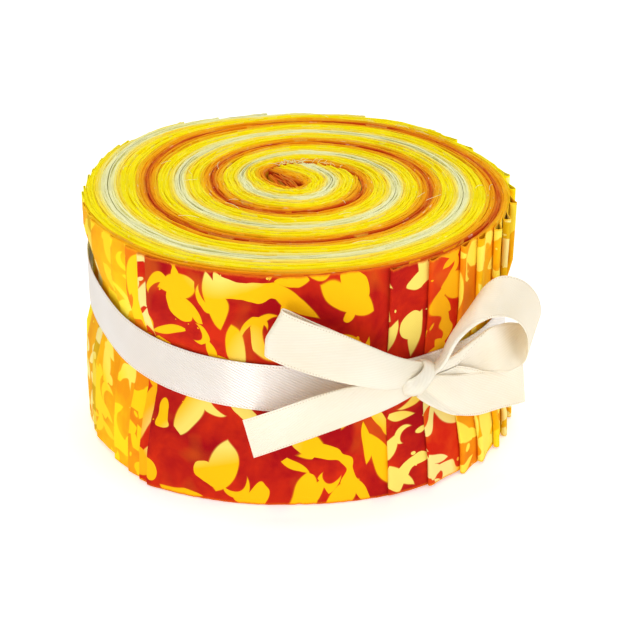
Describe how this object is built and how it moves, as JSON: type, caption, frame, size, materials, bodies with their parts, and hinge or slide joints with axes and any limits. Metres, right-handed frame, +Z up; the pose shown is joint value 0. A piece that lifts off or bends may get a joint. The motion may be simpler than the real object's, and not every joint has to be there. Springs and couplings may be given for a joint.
{
  "type": "fabric strip roll",
  "caption": "Precut quilting cotton strips in warm batik prints, wound up as one upright roll and tied round the middle with a satin ribbon bow.",
  "frame": {"origin": "centre of the roll's flat underside, on its axis", "axes": "+Z up along the roll's axis, -Y towards the front of the roll, so that the bow is at the front right"},
  "size_m": [0.1205, 0.1252, 0.0635],
  "materials": {
    "batik_cotton": "plain woven quilting cotton, batik printed in reds, oranges and yellows, matt",
    "ivory_satin": "single-face satin ribbon, ivory, with a soft sheen"
  },
  "bodies": {
    "root": {"strip_roll": "batik_cotton", "ribbon_tie": "ivory_satin"}
  },
  "joints": []
}
